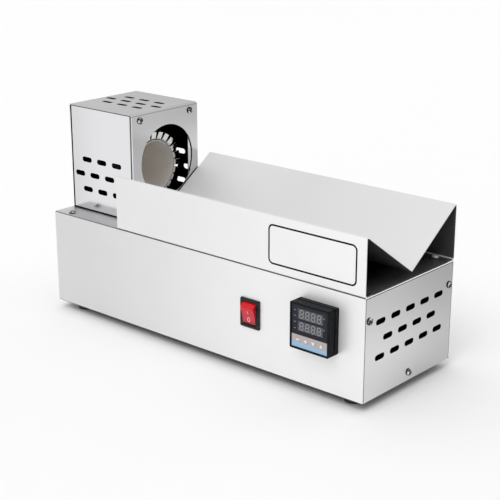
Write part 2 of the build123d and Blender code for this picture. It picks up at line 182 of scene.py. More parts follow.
def bump(tree, shader, height, distance):
    """Bump from a height of 0 to 1, its distance in metres."""
    made = node(tree, "Bump", {"Height": height, "Distance": distance, "Strength": 1.0})
    link(tree, made.outputs[0], shader, "Normal")


def scaled(tone, factor):
    """A tone made lighter or darker, as a colour."""
    return tuple(min(1.0, channel * factor) for channel in tone[:3]) + (1,)


# Masks of the steel sheets, from 0 to 1, by a face's place and normal

margin = sheet / 2
bend_margin = 1.0 * MM
edge = 0.2 * MM


def box_inner(low, high):
    """Mask of what lies inside a box."""
    def mask(tree, place):
        return inside_box(tree, place, low, high)
    return mask


# The slope's upper face as a line over the base's top, from the valley to the sharp fold
trough_half = (trough_high.y - trough_low.y) / 2
valley_top = 7.9 * MM
fold_top = 60.8 * MM
slope = (fold_top - valley_top) / trough_half


def trough_inner(tree, place):
    """1 on the underside of the slopes and on the inner faces of the walls and feet."""
    parts = split(tree, place)
    off = calc(tree, "ABSOLUTE", calc(tree, "SUBTRACT", parts[Y], mid_y))
    middle = base_top_z + valley_top - 0.75 * MM
    under = calc(tree, "LESS_THAN", parts[Z], calc(tree, "MULTIPLY_ADD", off, slope, middle))
    slopes = calc(tree, "LESS_THAN", off, trough_half - 2.6 * MM)
    heights = between(tree, parts[Z], base_top_z + sheet + 1.0 * MM, trough_high.z - 1.5 * MM)
    walls = calc(tree, "MULTIPLY", heights, calc(tree, "LESS_THAN", off, trough_half - margin))
    return calc(tree, "MULTIPLY", under, calc(tree, "MAXIMUM", slopes, walls))


def upright(tree, place, normal):
    """1 on the front and back walls."""
    return calc(tree, "GREATER_THAN", calc(tree, "ABSOLUTE", normal[Y]), 0.6)


def top_painted_light(tree, place, normal):
    """1 on faces that look up, which get painted light."""
    return calc(tree, "GREATER_THAN", normal[Z], 0.9)


def everywhere(tree, place, normal):
    """1 on the whole sheet."""
    return 1.0


def slope_painted_shade(tree, place, normal):
    """1 on the upper faces of the trough's slopes, fading out towards the head; they get painted shade.
    """
    start, stop = trough_low.x + 56.3 * MM, trough_low.x + 166.3 * MM
    ramp = ramp_between(tree, split(tree, place)[X], start, stop)
    return calc(tree, "MULTIPLY", calc(tree, "GREATER_THAN", normal[Z], 0.5), ramp)


def near_head_painted_light(tree, place, normal):
    """Rises to 1 in the valley of the trough's upper faces, towards the head, where painted light
    brightens them.
    """
    parts = split(tree, place)
    ramp = ramp_between(tree, parts[X], trough_low.x + 90 * MM, trough_low.x)
    depth = ramp_between(tree, parts[Z], trough_high.z, base_top_z + valley_top)
    upper = calc(tree, "GREATER_THAN", normal[Z], 0.5)
    return calc(tree, "MULTIPLY", upper, calc(tree, "MULTIPLY", ramp, depth))


def tunnel_painted_shade(tree, place, normal):
    """Rises to 1 on the base's top inside the trough, away from its open end, where painted shade
    darkens it.
    """
    start, stop = shell_high.x + 15 * MM, shell_high.x - 45 * MM
    ramp = ramp_between(tree, split(tree, place)[X], start, stop)
    low = (trough_low.x, shell_low.y + 3 * MM, base_top_z - MM)
    high = (shell_high.x, shell_high.y - 3 * MM, base_top_z + MM)
    return calc(tree, "MULTIPLY", inside_box(tree, place, low, high), ramp)


def shell_shade_lines(tree, place, normal):
    """1 on the bends along the top and on the cut edge along the bottom of the walls, which get painted
    shade lines.
    """
    bends = between(tree, calc(tree, "ABSOLUTE", normal[Y]), 0.45, 0.85)
    bottom = calc(tree, "LESS_THAN", split(tree, place)[Z], shell_low.z + 0.5 * MM)
    return calc(tree, "MAXIMUM", bends, bottom)


def trough_shade_lines(tree, place, normal):
    """1 on the outer bends of the feet, over the base's top, which get a painted shade line."""
    bends = between(tree, calc(tree, "ABSOLUTE", normal[Y]), 0.15, 0.97)
    return calc(tree, "MULTIPLY", bends, calc(tree, "LESS_THAN", normal[Z], -0.5))


def panel_shade_lines(tree, place, normal):
    """1 on the panels' right bends, beside the cover's side, which get a painted shade line."""
    return between(tree, normal[X], 0.20, 0.995)


def cut_edge_highlight(tree, place, normal):
    """1 on the cover's upright cut edges along the front and the back, which get a painted highlight."""
    ends = calc(tree, "GREATER_THAN", calc(tree, "ABSOLUTE", normal[Y]), 0.9)
    below_bend = calc(tree, "LESS_THAN", split(tree, place)[Z], cover_high.z - 3 * MM)
    return calc(tree, "MULTIPLY", ends, below_bend)


def bend_gleam(tree, place, normal):
    """1 along the middle of the cover's bends, which catch the light."""
    return between(tree, calc(tree, "ABSOLUTE", normal[X]), 0.45, 0.85)


# Materials

# Painted shade: dark tones for the inner sides of the sheets, which lie in shade. The near black one
# also colours the cup's outer faces.
INNER_SHADE = (0.050, 0.048, 0.046, 1)
NEAR_BLACK = (0.012, 0.012, 0.012, 1)
SATIN = 0.4
# Grey of the painted shade lines at bends, seams and edges.
SHADE_LINE_GREY = 0.20


def steel(name, tone, rough, inner, inner_shade_tone=INNER_SHADE, grain=(1, 1, 12), painted_light_drifts=(),
          inner_rough=0.5, inner_metal=1.0, satin=None, lines=None, painted_light_zones=()):
    """Polished sheet steel: soft waviness, faint polishing lines and smudges, painted light
    and shade as a slow change of tone along an axis for each drift, and painted shade on the
    inner side where inner says so. It is satin where satin says so and has painted shade
    lines where lines says so. Each zone, given with a factor, gets painted light or shade."""
    material, tree, shader, place = start_material(name)
    normal = face_normal(tree)
    cloud = noise(tree, place, 9, detail=3)
    strokes = noise(tree, place, 420, grain, detail=3, rough=0.6)
    smudge = noise(tree, place, 26, detail=4, rough=0.6)
    color = blend_colors(tree, cloud, scaled(tone, 0.975), scaled(tone, 1.015))
    color = times_grey(tree, spread(tree, strokes, 0.0, 0.05), color, 0.6)
    # Painted light and shade: each drift makes the tone lighter or darker along an axis.
    for axis, start, stop, first, last in painted_light_drifts:
        span = ramp_between(tree, split(tree, place)[axis], start, stop, first, last,
                            interpolation_type="SMOOTHSTEP")
        shade = node(tree, "CombineColor", {0: span, 1: span, 2: span}).outputs[0]
        color = blend_colors(tree, 1.0, color, shade, "MULTIPLY")
    # Painted light and shade on each zone, as far as its factor says.
    for zone, factor in painted_light_zones:
        color = times_grey(tree, zone(tree, place, normal), color, factor)
    # Painted shade lines at bends, seams and edges.
    if lines is not None:
        color = times_grey(tree, lines(tree, place, normal), color, SHADE_LINE_GREY)
    # Painted shade on the inner side where inner says so, slightly mottled.
    mask = inner(tree, place)
    shaded_inner = blend_colors(tree, cloud, inner_shade_tone, scaled(inner_shade_tone, 0.6))
    link(tree, blend_colors(tree, mask, color, shaded_inner), shader, "Base Color")
    roughness = calc(tree, "ADD", spread(tree, smudge, rough * 0.75, rough * 1.3),
                     spread(tree, strokes, -0.01, 0.015))
    link(tree, blend_values(tree, mask, roughness, inner_rough), shader, "Roughness")
    if satin is None:
        shader.inputs["Metallic"].default_value = 1.0
    else:
        metallic = blend_values(tree, satin(tree, place, normal), 1.0, SATIN)
        link(tree, blend_values(tree, mask, metallic, inner_metal), shader, "Metallic")
    wave = noise(tree, place, 5, detail=1)
    bump(tree, shader, calc(tree, "MULTIPLY_ADD", strokes, 0.002, wave), 0.0006)
    return material


def plastic(name, tone, rough, specular=0.5):
    """Moulded plastic with a fine spark-eroded grain and slight gloss changes."""
    material, tree, shader, place = start_material(name)
    grain = noise(tree, place, 2600, detail=2)
    cloud = noise(tree, place, 60, detail=3)
    color = blend_colors(tree, cloud, scaled(tone, 0.8), scaled(tone, 1.25))
    link(tree, color, shader, "Base Color")
    link(tree, spread(tree, grain, rough * 0.85, rough * 1.15), shader, "Roughness")
    shader.inputs["Specular IOR Level"].default_value = specular
    bump(tree, shader, grain, 0.00003)
    return material


def rubber(name, tone, dusty=0.35, specular=0.5):
    """Matt rubber with a fine grain and some dust."""
    material, tree, shader, place = start_material(name)
    grain = noise(tree, place, 1500, detail=4, rough=0.7)
    dust = noise(tree, place, 120, detail=4)
    dust_tone = (0.12, 0.12, 0.115, 1)
    color = blend_colors(tree, spread(tree, dust, 0.0, dusty), (*tone, 1), dust_tone)
    link(tree, color, shader, "Base Color")
    link(tree, spread(tree, grain, 0.62, 0.88), shader, "Roughness")
    shader.inputs["Specular IOR Level"].default_value = specular
    bump(tree, shader, grain, 0.00008)
    return material


def red_translucent():
    """Red see-through rocker under a hard gloss: a clear red above, a milky one over the marks
    and a dark one at the lower end, which lies in its frame's shade."""
    material, tree, shader, place = start_material("rocker_red")
    rise = ramp_between(tree, split(tree, place)[Z], rocker_low.z, rocker_high.z)
    ramp = node(tree, "ValToRGB", {0: rise})
    stops = ramp.color_ramp.elements
    stops[0].position, stops[0].color = 0.04, (0.28, 0.014, 0.020, 1)
    stops[1].position, stops[1].color = 0.78, (0.63, 0.010, 0.014, 1)
    stops.new(0.24).color = (0.58, 0.040, 0.066, 1)
    stops.new(0.58).color = (0.60, 0.030, 0.048, 1)
    cloud = noise(tree, place, 220, detail=3)
    grey = blend_colors(tree, cloud, (0.86, 0.86, 0.86, 1), (1.08, 1.08, 1.08, 1))
    link(tree, blend_colors(tree, 1.0, ramp.outputs[0], grey, "MULTIPLY"), shader, "Base Color")
    link(tree, spread(tree, noise(tree, place, 900), 0.2, 0.3), shader, "Roughness")
    shader.inputs["Subsurface Weight"].default_value = 0.25
    shader.inputs["Subsurface Radius"].default_value = (0.004, 0.0006, 0.0005)
    shader.inputs["Specular IOR Level"].default_value = 0.2
    shader.inputs["Coat Weight"].default_value = 0.1
    shader.inputs["Coat Roughness"].default_value = 0.08
    bump(tree, shader, noise(tree, place, 500), 0.00002)
    return material


def lens_glass():
    """Dark tinted window with a faint vertical shade and fine scuffs."""
    material, tree, shader, place = start_material("lens_tint")
    rise = ramp_between(tree, split(tree, place)[Z], lens_low.z, lens_high.z)
    color = blend_colors(tree, rise, (0.010, 0.011, 0.018, 1), (0.013, 0.017, 0.023, 1))
    link(tree, color, shader, "Base Color")
    scuff = noise(tree, place, 900, (1, 1, 6), detail=4)
    link(tree, spread(tree, scuff, 0.16, 0.26), shader, "Roughness")
    shader.inputs["Specular IOR Level"].default_value = 0.2
    bump(tree, shader, scuff, 0.000006)
    return material


def keypad_print():
    """Printed membrane: warm grey above, a light blue band that fades in at the bottom."""
    material, tree, shader, place = start_material("keypad_print")
    parts = split(tree, place)
    rise = ramp_between(tree, parts[Z], keypad_low.z, keypad_high.z)
    tilt = calc(tree, "MULTIPLY_ADD", calc(tree, "SUBTRACT", parts[X], keypad_low.x), 2.5, rise)
    ramp = node(tree, "ValToRGB", {0: tilt})
    stops = ramp.color_ramp.elements
    stops[0].position, stops[0].color = 0.32, (0.28, 0.455, 0.65, 1)
    stops[1].position, stops[1].color = 0.54, (0.42, 0.385, 0.375, 1)
    cloud = noise(tree, place, 700, detail=3)
    mottle = spread(tree, cloud, 0.0, 0.12)
    color = blend_colors(tree, mottle, ramp.outputs[0], (0.85, 0.8, 0.75, 1), "MULTIPLY")
    link(tree, color, shader, "Base Color")
    link(tree, spread(tree, cloud, 0.3, 0.42), shader, "Roughness")
    bump(tree, shader, noise(tree, place, 3000), 0.00001)
    return material


def ink(name, tone, rough=0.5, specular=0.5):
    """Screen printed mark, slightly mottled."""
    material, tree, shader, place = start_material(name)
    cloud = noise(tree, place, 1400, detail=3)
    link(tree, blend_colors(tree, cloud, scaled(tone, 0.86), (*tone, 1)), shader, "Base Color")
    link(tree, spread(tree, cloud, rough * 0.85, rough * 1.15), shader, "Roughness")
    shader.inputs["Specular IOR Level"].default_value = specular
    return material


def finish_metal(tree, shader, place, color, low_rough, high_rough, depth=0.00004):
    """Gives a small metal part its colour, an uneven gloss and fine dents."""
    gloss = noise(tree, place, 300, detail=3)
    link(tree, color, shader, "Base Color")
    link(tree, spread(tree, gloss, low_rough, high_rough), shader, "Roughness")
    bump(tree, shader, noise(tree, place, 700, detail=3), depth)


def worn_metal(name, tone, rough, stain, stain_scale=90, metallic=1.0):
    """Small metal parts: mottled tone, uneven gloss."""
    material, tree, shader, place = start_material(name)
    shader.inputs["Metallic"].default_value = metallic
    patches = noise(tree, place, stain_scale, detail=5, rough=0.65)
    color = blend_colors(tree, patches, (*stain, 1), (*tone, 1))
    finish_metal(tree, shader, place, color, rough * 0.7, rough * 1.3)
    return material


def from_cup_axis(tree, place):
    """How far a place is off the cup's axis along Y and along Z, and its radius."""
    parts = split(tree, place)
    off_y = calc(tree, "SUBTRACT", parts[Y], (cup_low.y + cup_high.y) / 2)
    off_z = calc(tree, "SUBTRACT", parts[Z], (cup_low.z + cup_high.z) / 2)
    return off_y, off_z, hypotenuse(tree, off_y, off_z)


def cup_metal(name, tone, stain):
    """Heater cup: dull, pale and with slight stains inside, near black outside."""
    material, tree, shader, place = start_material(name)
    shader.inputs["Metallic"].default_value = 0.15
    patches = noise(tree, place, 40, detail=5, rough=0.65)
    color = blend_colors(tree, patches, (*stain, 1), (*tone, 1))
    radius = from_cup_axis(tree, place)[2]
    side = calc(tree, "GREATER_THAN", radius, cup_radius - 0.4 * cup_wall)
    bottom = calc(tree, "LESS_THAN", split(tree, place)[X], cup_low.x + 0.5 * cup_wall)
    color = blend_colors(tree, calc(tree, "MAXIMUM", side, bottom), color, NEAR_BLACK)
    finish_metal(tree, shader, place, color, 0.35, 0.65)
    return material


def crown_metal(name, tone, stain):
    """Bent strip round the cup: bright tabs, whose cut edges and bends are dull and pale."""
    material, tree, shader, place = start_material(name)
    patches = noise(tree, place, 160, detail=5, rough=0.65)
    color = blend_colors(tree, patches, (*stain, 1), (*tone, 1))
    normal = face_normal(tree)
    off_y, off_z, radius = from_cup_axis(tree, place)
    turned = calc(tree, "SUBTRACT", calc(tree, "MULTIPLY", normal[Z], off_y),
                  calc(tree, "MULTIPLY", normal[Y], off_z))
    limit = calc(tree, "MULTIPLY", radius, 0.7)
    cut = calc(tree, "GREATER_THAN", calc(tree, "ABSOLUTE", turned), limit)
    bend = between(tree, radius, 0.0, cup_radius + 2.6 * MM)
    pale = calc(tree, "MAXIMUM", cut, bend)
    link(tree, blend_values(tree, pale, 1.0, 0.25), shader, "Metallic")
    finish_metal(tree, shader, place, color, 0.07, 0.13)
    return material


def screw_metal(name, tone, stain):
    """Plated screw, with painted shade in the cross recess and round the foot of the head, and painted
    reflection as dark and light patches.
    """
    material, tree, shader, place = start_material(name)
    shader.inputs["Metallic"].default_value = 1.0
    # Painted reflection: sharp patches of dark and light over the plating.
    patches = noise(tree, place, 420, detail=3, rough=0.6)
    reflection_patches = ramp_between(tree, patches, 0.50, 0.58)
    plating_and_reflection = blend_colors(tree, reflection_patches, (*stain, 1), (*tone, 1))
    parts = split(tree, place)
    # Painted shade in the cross recess and round the foot of the head.
    near_axis = calc(tree, "LESS_THAN", hypotenuse(tree, parts[X], parts[Y]), 0.57 * screw_radius)
    sunk = calc(tree, "MULTIPLY", near_axis, calc(tree, "LESS_THAN", parts[Z], 0.9 * screw_height))
    foot = calc(tree, "LESS_THAN", parts[Z], 0.45 * screw_height)
    recess_shade = calc(tree, "MAXIMUM", sunk, calc(tree, "MULTIPLY", foot, 0.85))
    color = blend_colors(tree, recess_shade, plating_and_reflection, (0.03, 0.03, 0.03, 1))
    finish_metal(tree, shader, place, color, 0.08, 0.16, 0.00001)
    return material


POLISH = (0.86, 0.86, 0.865)
# The end panels and the head's cover are darker copies of the same polished steel: painted shade.
SIDE_POLISH_SHADED = (0.58, 0.58, 0.585)
COVER_POLISH_SHADED = (0.59, 0.59, 0.595)
PANEL_POLISH = (0.795, 0.795, 0.805)
# Painted shade under the trough's slopes and on the inner faces of its walls.
TROUGH_INNER_SHADE = (0.20, 0.20, 0.205, 1)

# The base's shell: painted light and shade, darker at the left end and lighter to the right, brighter on
# faces that look up; painted shade far inside the trough, as lines at the bends and along the bottom
# edge, and on the inside.
shell_steel = steel(
    "shell_steel", POLISH, 0.42,
    box_inner(
        (shell_low.x + edge, shell_low.y + margin, shell_low.z + edge),
        (shell_high.x - edge, shell_high.y - margin, shell_high.z - margin),
    ),
    painted_light_drifts=((X, shell_low.x + 1.5 * MM, shell_high.x - 21.5 * MM, 0.785, 1.05),),
    satin=upright, lines=shell_shade_lines, painted_light_zones=((top_painted_light, 1.09), (tunnel_painted_shade, 0.03)),
)
# The end panels: painted shade, darker towards the top and towards the back, and painted shade inside.
end_steel = steel(
    "end_steel", SIDE_POLISH_SHADED, 0.22,
    box_inner(
        (shell_low.x + margin, shell_low.y - margin, shell_low.z - margin),
        (shell_high.x - margin, shell_high.y + margin, shell_high.z + margin),
    ),
    painted_light_drifts=(
        (Z, shell_low.z + 30 * MM, shell_high.z, 1.14, 0.81),
        (Y, shell_low.y, shell_high.y + 2.5 * MM, 1.18, 0.79),
    ),
)
# The trough: painted light and shade, darker towards the head's end, darker on the slopes away from the
# head and lighter in the valley by it; painted shade lines over the feet's bends and painted shade
# underneath.
trough_steel = steel(
    "trough_steel", POLISH, 0.42, trough_inner, TROUGH_INNER_SHADE, (12, 1, 1),
    painted_light_drifts=((X, trough_low.x - 3.7 * MM, trough_high.x - 1.5 * MM, 0.92, 1.055),),
    inner_rough=0.35, inner_metal=0.7, satin=everywhere, lines=trough_shade_lines,
    painted_light_zones=((slope_painted_shade, 0.88), (near_head_painted_light, 1.24)),
)
# The head's cover: painted shade, darker towards the top and towards the back but brighter on faces that
# look up, painted highlights on its upright cut edges and its bends, and painted shade inside.
cover_steel = steel(
    "cover_steel", COVER_POLISH_SHADED, 0.2,
    box_inner(
        (cover_low.x + bend_margin, cover_low.y + edge, cover_low.z + edge),
        (cover_high.x - bend_margin, cover_high.y - edge, cover_high.z - bend_margin),
    ),
    NEAR_BLACK,
    painted_light_drifts=(
        (Z, cover_high.z - 55 * MM, cover_high.z - 4 * MM, 1.0, 0.72),
        (Y, cover_low.y, cover_high.y, 1.20, 1.07),
    ),
    painted_light_zones=((top_painted_light, 1.05), (cut_edge_highlight, 1.5), (bend_gleam, 1.35)),
)
cover_gap = 2.0 * MM
# The head's front and back panels: painted shade, darker at the left, painted shade lines at their right
# bends, and painted shade inside.
panel_steel = steel(
    "panel_steel", PANEL_POLISH, 0.13,
    box_inner(
        (cover_low.x + cover_gap + margin, cover_low.y + margin, cover_low.z - margin),
        (cover_high.x - cover_gap - margin, cover_high.y - margin, cover_high.z + margin),
    ),
    NEAR_BLACK, painted_light_drifts=((X, cover_low.x - 25 * MM, cover_low.x + 60 * MM, 0.83, 1.0),), lines=panel_shade_lines,
)
# The base's underside is dark: painted shade in the gap above the floor.
underside_shade_steel = worn_metal("underside_shade_steel", (0.10, 0.10, 0.10), 0.5, (0.05, 0.05, 0.05))
bracket_steel = worn_metal("bracket_steel", (0.04, 0.038, 0.036), 0.45, (0.015, 0.014, 0.013))
cup_steel = cup_metal("cup_steel", (1.0, 0.965, 0.91), (0.90, 0.86, 0.80))
crown_steel = crown_metal("crown_steel", (1.0, 0.995, 0.98), (0.94, 0.93, 0.90))
screw_steel = screw_metal("screw_steel", (0.90, 0.90, 0.91), (0.05, 0.05, 0.05))
# The trough's screws are light: a painted glint.
painted_glint_screw = worn_metal(
    "painted_glint_screw", (0.95, 0.95, 0.95), 0.3, (0.80, 0.80, 0.80), 300, metallic=0.3,
)
pin_metal = worn_metal("pin_metal", (0.75, 0.66, 0.42), 0.25, (0.55, 0.47, 0.3), 600)
feet_rubber = rubber("feet_rubber", (0.02, 0.02, 0.02))
seal_rubber = rubber("seal_rubber", (0.006, 0.006, 0.006), 0.05, 0.1)
switch_black = plastic("switch_black", (0.013, 0.014, 0.014), 0.42, specular=0.22)
case_black = plastic("case_black", (0.006, 0.0065, 0.008), 0.45, specular=0.08)
inlet_black = plastic("inlet_black", (0.02, 0.02, 0.02), 0.45)
rocker_red = red_translucent()
lens_tint = lens_glass()
keypad_film = keypad_print()
digit_grey = ink("digit_grey", (0.26, 0.27, 0.29))
window_grey = ink("window_grey", (0.050, 0.052, 0.060))
mark_grey = ink("mark_grey", (0.20, 0.21, 0.26))
icon_white = ink("icon_white", (0.80, 0.76, 0.72))
rocker_white = ink("rocker_white", (0.85, 0.72, 0.72))
border_ink = ink("border_ink", (0.005, 0.005, 0.005), 0.45, specular=0.05)

NODE_MATERIALS = {
    "base_shell": shell_steel,
    "base_floor": underside_shade_steel,
    "left_end_panel": end_steel,
    "right_end_panel": end_steel,
    "foot_front_left": feet_rubber,
    "foot_front_right": feet_rubber,
    "foot_back_left": feet_rubber,
    "foot_back_right": feet_rubber,
    "trough_sheet": trough_steel,
    "head_seal": seal_rubber,
    "head_cover": cover_steel,
    "head_front_panel": panel_steel,
    "head_back_panel": panel_steel,
    "heat_cup": cup_steel,
    "tab_crown": crown_steel,
    "cup_bracket_rear": bracket_steel,
    "cup_bracket_front": bracket_steel,
    "switch_housing": switch_black,
    "switch_rocker": rocker_red,
    "controller_case": case_black,
    "controller_lens": lens_tint,
    "controller_keypad": keypad_film,
    "controller_body": case_black,
    "controller_clamp": inlet_black,
    "inlet_body": inlet_black,
    "inlet_pins": pin_metal,
}
for node_name, material in NODE_MATERIALS.items():
    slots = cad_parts[node_name].data.materials
    slots.clear()
    slots.append(material)


# Mesh helpers

def add_piece(name, mesh, material, body=MACHINE, matrix=None):
    """A visible piece that rides on a body and gets the given material."""
    piece = bpy.data.objects.new(name, mesh)
    bpy.context.scene.collection.objects.link(piece)
    if matrix is not None:
        piece.matrix_world = matrix
    mesh.materials.clear()
    mesh.materials.append(material)
    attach(piece, body)
    return piece


def mesh_of(name, build):
    """Mesh made by a function that fills a bmesh."""
    shape = bmesh.new()
    build(shape)
    bmesh.ops.recalc_face_normals(shape, faces=shape.faces)
    mesh = bpy.data.meshes.new(name)
    shape.to_mesh(mesh)
    shape.free()
    return mesh


def facing(origin, along, up):
    """Matrix of a plane: its x runs along, its y runs up and its z stands out of it."""
    out = along.cross(up)
    return Matrix.Translation(origin) @ Matrix((along, up, out)).transposed().to_4x4()


RIGHT = Vector((1, 0, 0))
BACK = Vector((0, 1, 0))
UP = Vector((0, 0, 1))


def join_loops(shape, first, second):
    """Faces between two closed loops of the same number of verts."""
    for i in range(len(first)):
        j = (i + 1) % len(first)
        shape.faces.new((first[i], first[j], second[j], second[i]))


def close_loops(shape, first, second):
    """Faces over the ends of what lies between two loops."""
    shape.faces.new(second)
    shape.faces.new(list(reversed(first)))


def add_plate(shape, outline, thickness, hole=None):
    """Prism on the plane z = 0, from an outline of (x, y) points; a hole makes it a ring."""
    low = [shape.verts.new((x, y, 0)) for x, y in outline]
    high = [shape.verts.new((x, y, thickness)) for x, y in outline]
    if hole is None:
        close_loops(shape, low, high)
        join_loops(shape, low, high)
    else:
        low_in = [shape.verts.new((x, y, 0)) for x, y in hole]
        high_in = [shape.verts.new((x, y, thickness)) for x, y in hole]
        for first, second in ((high, high_in), (low_in, low), (low, high), (high_in, low_in)):
            join_loops(shape, first, second)


def rounded_outline(width, height, radius, steps=8):
    """Points of a rectangle with rounded corners round the origin."""
    points = []
    for corner_x, corner_y, start in ((1, 1, 0), (-1, 1, 90), (-1, -1, 180), (1, -1, 270)):
        for step in range(steps + 1):
            turn = radians(start + 90 * step / steps)
            points.append((
                corner_x * (width / 2 - radius) + radius * cos(turn),
                corner_y * (height / 2 - radius) + radius * sin(turn),
            ))
    return points


def moved(outline, x, y):
    """An outline with its origin put at (x, y)."""
    return [(x + a, y + b) for a, b in outline]


# Screws: pan heads with a cross recess

def lathe(shape, profile, count=40):
    """Turns a profile of (radius, height) points about Z; it starts and ends on the axis."""
    turns = [2 * pi * i / count for i in range(count)]
    rings = []
    for radius, height in profile:
        if radius == 0:
            rings.append([shape.verts.new((0, 0, height))])
        else:
            rings.append([shape.verts.new((radius * cos(t), radius * sin(t), height)) for t in turns])
    for lower, upper in zip(rings, rings[1:]):
        for i in range(count):
            j = (i + 1) % count
            corners = [
                lower[i % len(lower)], lower[j % len(lower)],
                upper[j % len(upper)], upper[i % len(upper)],
            ]
            unique = list(dict.fromkeys(corners))
            if len(unique) > 2:
                shape.faces.new(unique)


def screw_mesh(name):
    """Pan head with a cross recess cut into its top."""
    def dome(shape):
        rim, top = 0.25, 0.67
        steps = 6
        profile = [(0, 0), (screw_radius, 0), (screw_radius, rim * screw_height)]
        for step in range(1, steps + 1):
            turn = radians(90 * step / steps)
            reach = cos(turn) if step < steps else 0
            profile.append((
                screw_radius * (0.55 + 0.45 * reach), screw_height * (rim + top * sin(turn)),
            ))
        profile.append((0.3 * screw_radius, 0.985 * screw_height))
        profile.append((0, screw_height))
        lathe(shape, profile)

    def cross(shape):
        reach, half = 0.56 * screw_radius, 0.17 * screw_radius
        for x, y in ((reach, half), (half, reach)):
            outline = [(-x, -y), (x, -y), (x, y), (-x, y)]
            lower = [shape.verts.new((a * 0.5, b * 0.5, 0.35 * screw_height)) for a, b in outline]
            upper = [shape.verts.new((a, b, 1.2 * screw_height)) for a, b in outline]
            close_loops(shape, lower, upper)
            join_loops(shape, lower, upper)

    head = bpy.data.objects.new("screw_blank", mesh_of("screw_blank", dome))
    cutter = bpy.data.objects.new("screw_cutter", mesh_of("screw_cutter", cross))
    for item in (head, cutter):
        bpy.context.scene.collection.objects.link(item)
    cut = head.modifiers.new("recess", "BOOLEAN")
    cut.object = cutter
    cut.operation = "DIFFERENCE"
    cut.solver = "EXACT"
    cut.use_self = True
    shown = head.evaluated_get(bpy.context.evaluated_depsgraph_get())
    mesh = bpy.data.meshes.new_from_object(shown)
    mesh.name = name
    for item in (head, cutter):
        bpy.data.objects.remove(item)
    for face in mesh.polygons:
        face.use_smooth = face.normal.z > 0.05 and face.center.z > 0.3 * screw_height
    return mesh


def wall_screws(kind, ends, places):
    """Screws in the left and right wall of a box, at places of (name, across, height)."""
    found = []
    for side, wall_x, out in (("right", ends[1].x, 1), ("left", ends[0].x, -1)):
        for place_name, across, height in places:
            origin = Vector((wall_x, shell_low.y + across * MM, shell_low.z + height * MM))
            found.append(("_".join((side, kind, "screw", place_name)), origin, BACK * out, UP))
    return found


# Places of the screws, in millimetres from the base's lower front left corner
screw_head = screw_mesh("screw_head")
screws = wall_screws("end", (shell_low, shell_high),
                     (("front", 8.2, 82.9), ("back", 145.3, 83.2), ("low", 77.6, 8.6)))
screws += wall_screws("head", (cover_low, cover_high), (("front", 39.9, 222.0), ("back", 118.2, 222.0)))
top_x, top_inset = shell_low.x + 21.1 * MM, 8.0 * MM
for place_name, y in (("front", shell_low.y + top_inset), ("back", shell_high.y - top_inset)):
    screws.append(("top_screw_" + place_name, Vector((top_x, y, base_top_z)), RIGHT, BACK))
for place_name, across in (("front", 7.0), ("back", 145.0)):
    for end_name, along in (("right", 425.0), ("left", 124.0)):
        origin = Vector((shell_low.x + along * MM, shell_low.y + across * MM, base_top_z + sheet))
        screws.append(("trough_screw_" + place_name + "_" + end_name, origin, RIGHT, BACK))
for index, (screw_name, origin, along, up) in enumerate(screws):
    turn = Matrix.Rotation(radians(23 + 37 * index), 4, "Z")
    finish = painted_glint_screw if screw_name.startswith("trough") else screw_steel
    add_piece(screw_name, screw_head.copy(), finish, matrix=facing(origin, along, up) @ turn)


# Controller display: two rows of four seven-segment digits, marks beside them

def segment_outlines(width, height, stroke):
    """The seven bars of a digit, each a six-sided outline."""
    half_w, half_h, gap = (width - stroke) / 2, (height - stroke) / 2, 0.12 * stroke
    s = stroke / 2
    bars = []
    for level in (-1, 0, 1):
        y = level * half_h
        a, b = -half_w + gap, half_w - gap
        bars.append([(a, y), (a + s, y - s), (b - s, y - s), (b, y), (b - s, y + s), (a + s, y + s)])
    for side in (-1, 1):
        for level in (0, 1):
            x = side * half_w
            a, b = (level - 1) * half_h + gap, level * half_h - gap
            bars.append([(x, a), (x + s, a + s), (x + s, b - s), (x, b), (x - s, b - s), (x - s, a + s)])
    return bars


# Sizes of the display, set out from the controller's upper left corner. The rows' tops and
# bottoms are in millimetres below it.
DIGIT_ROWS = ((6.4, 15.4), (19.2, 27.6))
window_centre, window_width, window_margin = 24.9 * MM, 31.0 * MM, 0.8 * MM
window_radius, window_height = 0.6 * MM, 0.02 * MM
first_digit, digit_pitch = 14.1 * MM, 7.13 * MM
digit_width, digit_stroke, digit_lean = 5.2 * MM, 1.15 * MM, 0.06
dot_offset, dot_radius = 3.15 * MM, 0.5 * MM


def windows(shape):
    """A slightly lighter field behind each row of digits."""
    for row_top, row_bottom in DIGIT_ROWS:
        height = (row_bottom - row_top) * MM + 2 * window_margin
        field = rounded_outline(window_width, height, window_radius)
        add_plate(shape, moved(field, window_centre, -(row_top + row_bottom) / 2 * MM), window_height)


def display(shape):
    """Unlit eights, each with its dot."""
    turns = [2 * pi * i / 12 for i in range(12)]
    round_dot = [(dot_radius * cos(t), dot_radius * sin(t)) for t in turns]
    for row_top, row_bottom in DIGIT_ROWS:
        bars = segment_outlines(digit_width, (row_bottom - row_top) * MM, digit_stroke)
        leaned = [[(x + digit_lean * y, y) for x, y in bar] for bar in bars]
        for column in range(4):
            centre_x = first_digit + column * digit_pitch
            for bar in leaned:
                add_plate(shape, moved(bar, centre_x, -(row_top + row_bottom) / 2 * MM), print_height)
            dot = moved(round_dot, centre_x + dot_offset, dot_radius - row_bottom * MM)
            add_plate(shape, dot, print_height)


